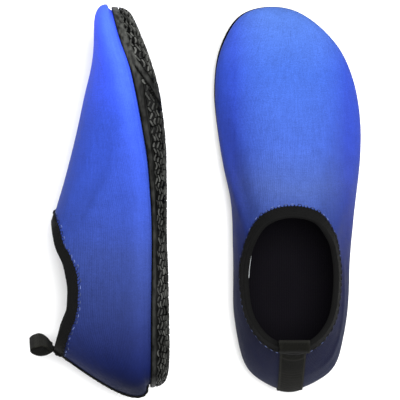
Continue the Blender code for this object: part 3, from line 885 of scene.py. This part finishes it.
def make_binding(shoe, materials):
    """Knitted tape folded over the collar's edge, pulled in along its stitches."""
    band = collar_band()
    face = GAP + BINDING_THICK
    inside = -(UPPER_THICK + LINING_THICK + 2 * GAP)
    back = inside - BINDING_THICK
    middle, half = (face + back) / 2, (face - back) / 2
    width = BINDING_WIDTH
    fold = np.linspace(0.06, math.pi - 0.06, 13)
    section = [(face - 0.0001, t * width) for t in np.linspace(1.0, 0.06, 14)]
    section += [(middle + half * math.cos(angle), -FOLD_RISE * math.sin(angle)) for angle in fold]
    section += [(back + 0.0001, t * width) for t in np.linspace(0.06, 1.0, 10)]
    section += [(back + 0.0003, width + 0.0002), (inside, width), (inside, 0.5 * width), (inside, 0.0)]
    section += [(middle, -GAP), (GAP, 0.0), (GAP, 0.5 * width), (GAP, width), (face - 0.0003, width + 0.0002)]
    turn = 2 * np.pi * np.arange(COLUMNS) / COLUMNS
    stitch = np.cos(turn * STITCHES)
    drift = 0.6 * np.sin(turn * 7 + 1.0) + 0.4 * np.sin(turn * 17 + 2.0)
    rows = []
    for outwards, below in section:
        if outwards > GAP + 0.0002 and below > 0:
            pull = -0.00022 * bell((below - THREAD_TOP) / 0.0011) * (0.5 - 0.5 * stitch)
            outwards = outwards + pull + 0.00010 * drift
        lip = 0.00016 * stitch * smooth_step((below - 0.75 * width) / (0.25 * width)) if below > 0 else 0.0
        rows.append(collar_point(band, outwards, below + lip))
    cloth = np.broadcast_arrays(path_lengths(section)[:, None], ring_lengths(band[0])[:-1])
    build = Build()
    build.grid(np.array(rows), np.stack(cloth, axis=-1), across=True)
    build.finish("folded_binding", shoe, materials["binding"], "collar_binding")


def make_thread(shoe, materials):
    """Zigzag stitches over the binding's lower edge. Only their lower ends are pale, on the blue cloth."""
    band = collar_band()
    lengths = ring_lengths(collar_point(band, 0.0, BINDING_WIDTH))
    ends = TAPE_WIDTH / 2 + THREAD_FROM_TAPE
    chance = np.random.default_rng(SEED)
    knots = []
    for i, place in enumerate(np.linspace(ends, lengths[-1] - ends, 2 * STITCHES)):
        slip = chance.normal(0.0, 0.00022, 2)
        below = (THREAD_BOTTOM if i % 2 else THREAD_TOP) + slip[0]
        pale = (i % 2) * chance.uniform(0.0, 1.0)
        half = 0.00075 if i % 2 else 0.0004
        knots += [(place - half + slip[1], below, pale), (place + half + slip[1], below + slip[0], pale)]
    path, shade = [], []
    for (start, top, first), (end, bottom, second) in zip(knots, knots[1:]):
        flat = abs(bottom - top) < 0.001
        for t in np.linspace(0, 1, 6)[:-1]:
            below = top + (bottom - top) * t
            over = smooth_step((below - BINDING_WIDTH - 0.0003) / 0.0006)
            path.append((start + (end - start) * t, 0.00115 * (1 - over) + 0.00016 * over, below))
            faded = 0.8 * first * smooth_step(1 - 4 * t) + second * smooth_step(4 * t - 3)
            shade.append(first if flat else faded)
    place, outwards, below = np.array(path).T
    columns = columns_at(lengths, place)
    edge, low, outward = (at_columns(ring, columns) for ring in band)
    build = Build()
    route = edge + (low - edge) * (below / BINDING_WIDTH)[:, None] + outward * outwards[:, None]
    build.tube(route, THREAD_RADIUS, 7, shade)
    build.finish("zigzag_thread", shoe, materials["thread"], "collar_thread")


def heel_rows():
    """Rings up the back of the shoe with their outward directions, and how far each is on to the binding."""
    surface, normals = upper_shape(FLOOR_THICK + GAP, UPPER_ROWS, 0.0)
    rows = [(surface[i], normals[i], 0.0) for i in range(SHOULDER_ROW, len(surface) + SEAM_ROW + 1)]
    band = collar_band()
    for below in np.linspace(0.92, 0.0, 12) * BINDING_WIDTH:
        rows.append((collar_point(band, 0.0, below), band[2], smooth_step((BINDING_WIDTH - below) / 0.0009)))
    root = np.array(LOOP_PIVOT) + TAPE_TUCK - band[0][0]
    for share in ROOT_SHARES:
        rows.append((band[0] + root * share, band[2], 1 - 0.35 * share))
    return rows


def places_across(count):
    """Places across a flat band from -1 to 1, with a narrow turned edge on either side."""
    return np.concatenate([[-1.0, -0.985], np.linspace(-0.94, 0.94, count), [0.985, 1.0]])


def make_heel_tape(shoe, materials):
    """Webbing over the back seam, with firm selvages, two lines of stitches and ridges lower down."""
    rows = heel_rows()
    half = TAPE_WIDTH / 2
    across = places_across(29)
    aside = np.abs(across)
    edge, within = aside > 0.99, aside < 0.75
    thick = TAPE_THICK * np.where(edge, 0.45, 1.0)
    lengths = path_lengths([ring[0] for ring, _, _ in rows])
    tops, unders, shades = [], [], []
    for (ring, normals, on_binding), along in zip(rows, lengths):
        down = lengths[-1 - len(ROOT_SHARES)] - along
        lift = GAP + (BINDING_THICK + GAP) * on_binding
        columns = columns_at(ring_lengths(ring), across * half)
        points, out = at_columns(ring, columns), at_columns(normals, columns)
        ridged = smooth_step((down - 0.02) / 0.01)
        wave = math.sin(down * 2 * math.pi / TAPE_RIDGE) * ridged
        relief = 0.00022 * bell((aside - 0.89) / 0.05) - 0.00020 * bell((aside - 0.77) / 0.04)
        relief += 0.00045 * bell((down - 0.0105 + 0.0012 * across**2) / 0.0007) * within
        relief += 0.00030 * bell((down - 0.0078) / 0.0005) * within
        relief += 0.00012 * wave
        # Paler selvages, and painted highlight on the raised ridges and stitch lines.
        pale = 0.50 * bell((aside - 0.88) / 0.07) + 0.50 * bell((down - 0.0108 + 0.0012 * across**2) / 0.0008)
        pale += 0.30 * bell((down - 0.0076) / 0.0006) + 0.17 * (ridged + wave) - 0.08
        tops.append(points + out * (lift + thick + relief * ~edge)[:, None])
        unders.append(points + out * (lift + (TAPE_THICK - thick) * 0.5)[:, None])
        shades.append(pale)
    build = Build()
    build.band(np.array(tops), np.array(unders), across * half, lengths, np.array(shades))
    build.finish("heel_webbing", shoe, materials["webbing"], "heel_tape")


def make_bartack(shoe, materials):
    """Dense upright stitches through the tape and the ends of the loop."""
    band = collar_band()
    base = BINDING_THICK + 2 * GAP + TAPE_THICK
    build = Build()
    chance = np.random.default_rng(SEED + 1)
    for offset in np.arange(-BARTACK_WIDTH / 2, BARTACK_WIDTH / 2, BARTACK_PITCH):
        jitter = chance.normal(0, 0.00006, 2)
        path = []
        for t in np.linspace(0, 1, 7):
            below = BARTACK_TOP + (BARTACK_BOTTOM - BARTACK_TOP) * t + jitter[0]
            ring = collar_point(band, base + 0.00012 + 0.00030 * math.sin(math.pi * t), below)
            place = np.array([offset + 0.0002 * t + jitter[1]])
            path.append(at_columns(ring, columns_at(ring_lengths(ring), place))[0])
        build.tube(path, THREAD_RADIUS, 6)
    build.finish("bartack_stitches", shoe, materials["thread"], "loop_bartack")


def bent_loop(points, shoe):
    """Points of the loop, pressed flat and leaning as on the given shoe, and in their place on it."""
    points[..., 1] = LOOP_BACK + (points[..., 1] - LOOP_BACK) * shoe["flatness"]
    lean = shoe["lean"] * (ROOT_LEAN + (1 - ROOT_LEAN) * smooth_step(points[..., 2] / 0.008))
    points[..., 1] += lean * (points[..., 0] + LEAN_CENTRE * LOOP_WIDTH / 2)
    points[..., 2] += 0.25 * lean * points[..., 0]
    return points + np.array(LOOP_PIVOT)


def make_pull_loop(shoe, materials):
    """Webbing loop: a band of rounded section bent round from its root and back."""
    outer = open_curve(LOOP_OUTLINE + [LOOP_END], 110)
    along = unit(np.gradient(outer, axis=0))
    inward = np.column_stack([along[:, 1], -along[:, 0]])
    lengths = path_lengths(outer)
    half = LOOP_WIDTH / 2
    across = places_across(19)
    aside = np.abs(across)
    edge = aside > 0.99
    wave = 0.00006 * np.sin(lengths * 2 * np.pi / LOOP_RIDGE)
    selvage = 0.00014 * bell((aside - 0.91) / 0.06)
    top = np.where(edge, 0.3, 0.0) * LOOP_THICK - selvage + 0.00012 * across**2 + wave[:, None] * ~edge
    under = np.broadcast_to(LOOP_THICK * np.where(edge, 0.7, 1.0) + 0.00012 * across**2, top.shape)
    x = across * half * (1 + 0.012 * np.sin(lengths * 260 + 0.5))[:, None]
    faces = [np.dstack([x, outer[:, None] + inward[:, None] * depth[..., None]]) for depth in (top, under)]
    # Paler selvages, and painted highlight along the loop's top ridge.
    pale = 0.20 * bell((aside - 0.90) / 0.06) + 0.45 * bell((outer[:, :1] - 0.0074) / 0.0011)
    build = Build()
    build.band(*(bent_loop(points, shoe) for points in faces), across * half, lengths, pale)
    build.finish("pull_loop_webbing", shoe, materials["webbing"], "pull_loop", body="loop")


def make_label(shoe, materials):
    """Blank woven tape that hangs from the binding on the inner side, a little curled."""
    back = -(UPPER_THICK + LINING_THICK + BINDING_THICK + 3 * GAP) - GAP
    ring = collar_point(collar_band(), back, LABEL_SEAM)
    inner = np.arange(COLUMNS // 2, COLUMNS)
    ends = [np.interp(-y, -ring[inner, 1], inner) for y in (LABEL_TO, LABEL_FROM)]
    top = at_columns(ring, np.linspace(*ends, 19))
    width = np.linalg.norm(top - top[0], axis=1)
    drops = np.concatenate([[0.0, 0.004], np.linspace(0.05, 0.95, 16), [0.996, 1.0]])
    rows = []
    for t in drops:
        row = top + np.array([0.85 * LABEL_LEAN * t, 0.0, -LABEL_DROP * t])
        row[:, 0] += 0.0002 * math.sin(5 * t) - 0.0003 * t * np.linspace(-1, 1, len(top)) ** 2
        rows.append(row)
    rows = np.array(rows)
    cloth = np.stack(np.broadcast_arrays(width, drops[:, None] * LABEL_DROP), axis=-1)
    build = Build()
    build.grid(rows, cloth, around=False)
    build.grid(rows + (LABEL_THICK, 0.0, 0.0), cloth, around=False, flip=True)
    vertex = np.arange(width.size * drops.size).reshape(rows.shape[:2])
    border = np.concatenate([vertex[0], vertex[1:, -1], vertex[-1, -2::-1], vertex[-2:0:-1, 0]])
    after = np.roll(border, -1)
    build.faces += np.stack([after, border, border + vertex.size, after + vertex.size], axis=1).tolist()
    piece = build.finish("woven_label", shoe, materials["label"], "inner_label")


def make_footbed(shoe, materials):
    """Soft foam insole, with a rounded edge, a shallow heel cup and a slight dip under the ball."""
    inset = RIM_THICK + UPPER_THICK + LINING_THICK + 3 * GAP + FOOTBED_SLACK
    bottom = FLOOR_THICK + BOARD_THICK + 2 * GAP
    top = bottom + FOOTBED_THICK
    rows = [tread_ring(MIDDLE_INSET, bottom), tread_ring(inset + 0.0004, bottom)]
    rows.append(tread_ring(inset, bottom + 0.0005))
    for angle in np.linspace(0, math.pi / 2, 6):
        drawn_in, down = FOOTBED_ROUND * (1 - math.cos(angle)), FOOTBED_ROUND * (1 - math.sin(angle))
        rows.append(tread_ring(inset + drawn_in, top - down))
    face = len(rows) - 1
    insets = np.linspace(inset + FOOTBED_ROUND + 0.0006, MIDDLE_INSET, 16)
    rows += [tread_ring(value, top) for value in insets]
    rows = finer(rows, FOOTBED_COLUMNS)
    y = rows[face:, :, 1]
    depth = smooth_step(np.linspace(0, 1, len(y)))[:, None]
    rows[face:, :, 2] -= 0.0009 * depth * smooth_step((0.085 - y) / 0.04)
    rows[face:, :, 2] -= 0.0004 * depth * bell((y - 0.165) / 0.03)
    build = Build()
    build.grid(rows, rows[..., :2])
    build.cap(0, FOOTBED_COLUMNS, flip=True)
    build.cap((len(rows) - 1) * FOOTBED_COLUMNS, FOOTBED_COLUMNS)
    piece = build.finish("foam_footbed", shoe, materials["foam"], "footbed")


# ---- The outsole ----


def sole_profile():
    """Rings over the outside of the sole, from the inner edge of its ground band round and up to the rim."""
    rows = [tread_ring(value, 0.0) for value in np.linspace(BAND_EDGE, 0.0062, 5)]
    rows += [tread_ring(inset, lift) for inset, lift in open_curve(SOLE_CORNER, 13)[1:]]
    low, high = rows[-1], feather_ring(0.0, -0.0004)
    for t in np.linspace(0, 1, 15)[1:]:
        ring = low + (high - low) * t
        swell = 0.00025 * math.sin(math.pi * t) * smooth_step((0.19 - ring[:, 1:2]) / 0.03)
        ring[:, :2] += plan_normals(sole_ring(0.0)) * swell
        rows.append(ring)
    return finer(rows, SOLE_COLUMNS)


def leaning_toe(points):
    """The same points, with the toe's a little further to the shoe's left."""
    points[..., 0] -= TOE_LEAN * smooth_step((points[..., 1] - 0.200) / 0.035)
    return points


def sweep_line(climb):
    """How far forward the main tread reaches, at shares of the side's height."""
    return SWEEP_START + SWEEP_CLIMB * climb


def tread_zone(y, climb):
    """From 0 to 1, how much of the patterned tread there is at y and a share of the side's height."""
    ahead = y - sweep_line(climb)
    body = smooth_step(-ahead / 0.003) * smooth_step((0.66 - climb) / 0.05)
    toe = smooth_step((ahead - 0.009) / 0.003) * smooth_step((0.62 - climb) / 0.06)
    return np.maximum(body, toe)


def make_outsole(shoe, materials):
    """Moulded cup sole: smooth upper band, patterned tread round its lower edge, and ribs underneath."""
    surface = leaning_toe(sole_profile())
    normals = grid_normals(surface)
    along = surface[:, :, 1]
    tread, feather = finer([tread_ring(0.0, 0.0), feather_ring(0.0, 0.0)], SOLE_COLUMNS)[..., 2]
    climb = np.clip((surface[..., 2] - tread) / (feather - tread), 0, 1)
    zone = tread_zone(along, climb)
    lengths = ring_lengths(surface[CORNER_ROW])
    chance = np.random.default_rng(SEED + 2)
    base = surface - normals * (LUG_DEPTH * zone)[..., None]
    notches = np.cumsum(chance.uniform(0.0068, 0.0115, 80))
    notches = notches[notches < lengths[-1]]
    notch = np.zeros(SOLE_COLUMNS)
    for place in notches:
        notch = np.maximum(notch, bell((lengths[:-1] - place) / 0.0007))
    base -= normals * (0.0004 * notch[None] * zone)[..., None]
    groove = 0.0003 * bell((climb - 0.70) / 0.03) * smooth_step((0.20 - along) / 0.01)
    groove += 0.0005 * bell((climb - 0.97) / 0.035)
    sweep = bell((along - sweep_line(climb) - 0.0008) / 0.0011)
    groove += 0.0009 * sweep * smooth_step((0.80 - climb) / 0.05)
    base -= normals * groove[..., None]
    field = [tread_ring(MIDDLE_INSET, FIELD_DEPTH), tread_ring(BAND_EDGE + 0.0006, FIELD_DEPTH)]
    rim = [
        feather_ring(0.0002, -0.0001),
        feather_ring(0.0006, 0.0),
        feather_ring(RIM_THICK - 0.0004, 0.0),
        feather_ring(RIM_THICK, -0.0003),
        tread_ring(RIM_THICK, FLOOR_THICK),
        tread_ring(MIDDLE_INSET, FLOOR_THICK),
    ]
    rings = np.concatenate([finer(field, SOLE_COLUMNS), base, leaning_toe(finer(rim, SOLE_COLUMNS))])
    # Shade of the sole: pale dust and painted highlight on the smooth band, most at the toe, and painted
    # shade in its grooves. The field and the rim stay plain black.
    dust_and_painted_light = SIDE_DUST_AND_HIGHLIGHT + TOE_DUST_AND_HIGHLIGHT * smooth_step((along - 0.200) / 0.02)
    dust_and_painted_light = np.pad(dust_and_painted_light * (1 - zone) - groove * GROOVE_SHADE, ((len(field), len(rim)), (0, 0)))
    build = Build()
    build.grid(rings, shade=np.clip(dust_and_painted_light, 0, 1))
    build.cap(0, SOLE_COLUMNS, flip=True)
    build.cap((len(rings) - 1) * SOLE_COLUMNS, SOLE_COLUMNS)
    add_lugs(build, surface, normals, lengths, climb, notches, chance)
    add_ribs(build)
    rubber = materials["rubber"]
    return build.finish("moulded_outsole", shoe, rubber, "outsole", smooth=38.0)


def add_lugs(build, surface, normals, lengths, climb, notches, chance):
    """Wavy bars that stand on the recessed tread, in rows round the sole's lower edge."""
    steps = np.linalg.norm(np.diff(surface, axis=0), axis=2).mean(axis=1)
    path = np.concatenate([[0], np.cumsum(steps)])
    half = LUG_HALF * np.array([0.75, 1.0, 1.0, 1.0, 0.75])
    for row in range(int((path[-1] - 0.001) / LUG_PITCH)):
        centre = 0.0009 + LUG_PITCH * row
        start = chance.uniform(0, 0.003)
        while start < lengths[-1] - 0.004:
            length = chance.uniform(0.0026, 0.0048)
            s = start + length * np.linspace(0, 1, len(half))
            wave = LUG_WAVE * np.sin(2 * np.pi * s / LUG_WAVE_LENGTH + 0.9 * row)
            q = centre + wave + chance.normal(0, 0.00006)
            start += length + LUG_GAP
            column = np.interp(s, lengths, np.arange(len(lengths)))
            level = np.interp(q, path, np.arange(len(path)))
            y = float(on_surface(surface, level, column)[:, 1].mean())
            up = float(on_surface(climb[..., None], level, column).mean())
            near_notch = np.abs(notches - s.mean()).min() < 0.0013
            if tread_zone(y, up) < 0.9 or (near_notch and row < 4):
                continue
            # Pale dust and painted highlight on the lug tops, more at the toe. Their feet stay darker.
            pale = chance.uniform(0.35, 1.0) * (1 + 0.5 * float(smooth_step((y - 0.200) / 0.02)))
            out = on_surface(normals, level, column)
            rows = []
            for share, height in LUG_SECTION:
                at = on_surface(surface, np.interp(q + half * share, path, np.arange(len(path))), column)
                rows.append(at + out * ((height - 1) * LUG_DEPTH - (1 - height) * 0.0003))
            build.bar(np.array(rows), [0.1, pale, pale, 0.1])


def add_ribs(build):
    """Wavy ribs across the underside, inside the ground band."""
    edge = finer([at_height(sole_ring(BAND_EDGE + 0.0012), 0.0)], 400)[0]
    half = len(edge) // 2
    outer_half, inner_half = edge[: half + 1], edge[half:]
    for y in np.arange(0.016, 0.236, RIB_PITCH):
        right = float(np.interp(y, outer_half[:, 1], outer_half[:, 0]))
        left = float(np.interp(-y, -inner_half[:, 1], inner_half[:, 0]))
        if right - left < 0.012:
            continue
        x = np.linspace(left + 0.0006, right - 0.0006, 60)
        fade = smooth_step((x - left) / 0.006) * smooth_step((right - x) / 0.006)
        wave = 0.0013 * np.sin(2 * np.pi * x / 0.013) * fade
        rows = []
        for share, height in RIB_SECTION:
            along = y + wave + RIB_HALF * share
            z = height_along(TREAD_HEIGHT, along) + height * (FIELD_DEPTH + 0.0002)
            rows.append(np.column_stack([x, along, z]))
        build.bar(np.array(rows), [0.25, 0.9, 0.9, 0.25], flip=True)


# ---- The two shoes ----


def shoe_matrix(side, rotation):
    """Where a shoe lies, found from its loop's hinge, which is at the same place in every shoe."""
    hinge = next(joint for joint in frame["joints"] if joint["name"] == f"{side}_loop_flop")
    place = Vector(hinge["pos_m"]) - rotation @ Vector(LOOP_PIVOT)
    return Matrix.Translation(place) @ rotation.to_4x4()


def make_board(side, materials):
    board = frame["nodes"][f"sole_board_{side}"]
    board.data.materials.clear()
    board.data.materials.append(materials["board"])


def make_shoe(side, rotation, materials):
    shoe = {"side": side, "matrix": shoe_matrix(side, rotation), **SHAPES[side]}
    shoe["outsole"] = make_outsole(shoe, materials).name
    make_upper(shoe, materials)
    make_lining(shoe, materials)
    make_footbed(shoe, materials)
    make_binding(shoe, materials)
    make_thread(shoe, materials)
    make_heel_tape(shoe, materials)
    make_bartack(shoe, materials)
    make_pull_loop(shoe, materials)
    make_label(shoe, materials)
    make_board(side, materials)


# ---- The stage ----


def make_floor():
    mesh = bpy.data.meshes.new("floor")
    half = 30.0
    corners = [(-half, -half, 0), (half, -half, 0), (half, half, 0), (-half, half, 0)]
    mesh.from_pydata(corners, [], [(0, 1, 2, 3)])
    floor = bpy.data.objects.new("floor", mesh)
    bpy.context.scene.collection.objects.link(floor)
    graph = Graph("pale_floor")
    speck = graph.noise(graph.add("ShaderNodeTexCoord", {}, "Object"), 3.0, 2.0)
    mesh.materials.append(graph.done(graph.ramp(speck, [(0.3, 0.93), (0.7, 0.95)]), 0.9))


def make_light(name, place, size, power):
    data = bpy.data.lights.new(name, "AREA")
    data.shape = "DISK"
    data.size = size
    data.energy = power
    light = bpy.data.objects.new(name, data)
    bpy.context.scene.collection.objects.link(light)
    light.location = place
    light.rotation_euler = (-Vector(place)).to_track_quat("-Z", "Y").to_euler()


def make_camera():
    data = bpy.data.cameras.new("camera")
    data.lens = 162.4
    data.sensor_width = 36.0
    data.clip_start = 0.05
    camera = bpy.data.objects.new("camera", data)
    bpy.context.scene.collection.objects.link(camera)
    camera.location = (0.0022, 0.0005, 1.2)
    bpy.context.scene.camera = camera


def make_world():
    world = bpy.data.worlds.new("soft_room")
    world.use_nodes = True
    background = world.node_tree.nodes["Background"]
    background.inputs["Color"].default_value = (1.0, 1.0, 1.0, 1.0)
    background.inputs["Strength"].default_value = 0.30
    bpy.context.scene.world = world


make_camera()
make_world()
make_floor()
make_light("overhead", (0.16, 0.12, 1.4), 0.9, 42.0)
bpy.context.scene.view_settings.view_transform = "Standard"

on_side = Matrix.Rotation(math.radians(-90), 3, "Y")
settle = Matrix.Rotation(LEFT_SWING, 3, "Z") @ Matrix.Rotation(LEFT_ROLL, 3, "Y")
settle = settle @ Matrix.Rotation(LEFT_PITCH, 3, "X")
shoe_materials = make_materials()
make_shoe("right", Matrix.Identity(3), shoe_materials)
make_shoe("left", settle @ on_side, shoe_materials)
